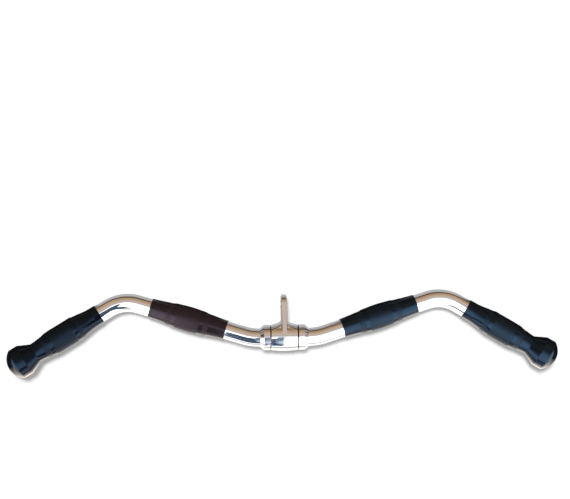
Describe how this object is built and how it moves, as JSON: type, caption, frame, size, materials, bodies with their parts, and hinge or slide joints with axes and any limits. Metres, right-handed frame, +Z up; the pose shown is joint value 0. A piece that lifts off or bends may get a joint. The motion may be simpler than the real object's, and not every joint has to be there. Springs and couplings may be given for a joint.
{
  "type": "ez bar",
  "caption": "Short W-shaped chrome curl bar for a cable machine, with rubber grips, bulb ends and a revolving hanger eye in the middle.",
  "frame": {"origin": "bottom centre of the bounding box, on the surface that the bar lies on", "axes": "+X along the hub's axis and the bar's length, +Y towards the two peaks and the eye, +Z up from the surface"},
  "size_m": [0.7624, 0.113, 0.0438],
  "materials": {
    "chrome_bar": "polished chrome plate",
    "chrome_hub": "polished chrome plate",
    "blackened_steel": "black oxide",
    "oiled_bronze": "dark oiled bronze",
    "black_rubber": "black moulded rubber, glossy cuffs, ribs and bulbs, matt knurled bands"
  },
  "bodies": {
    "bar": {"bar": "chrome_bar", "collar_left": "chrome_hub", "collar_right": "chrome_hub", "set_screw_left": "blackened_steel", "set_screw_right": "blackened_steel", "inner_grip_left": "black_rubber", "inner_grip_right": "black_rubber", "outer_grip_left": "black_rubber", "outer_grip_right": "black_rubber"},
    "hanger": {"hanger": "chrome_hub", "bush_left": "oiled_bronze", "bush_right": "oiled_bronze"}
  },
  "joints": [
    {"name": "hanger_swivel", "type": "hinge", "parent": "bar", "child": "hanger", "pos_m": [0, -0.00722, 0.0195], "axis": [1, 0, 0], "continuous": true}
  ]
}
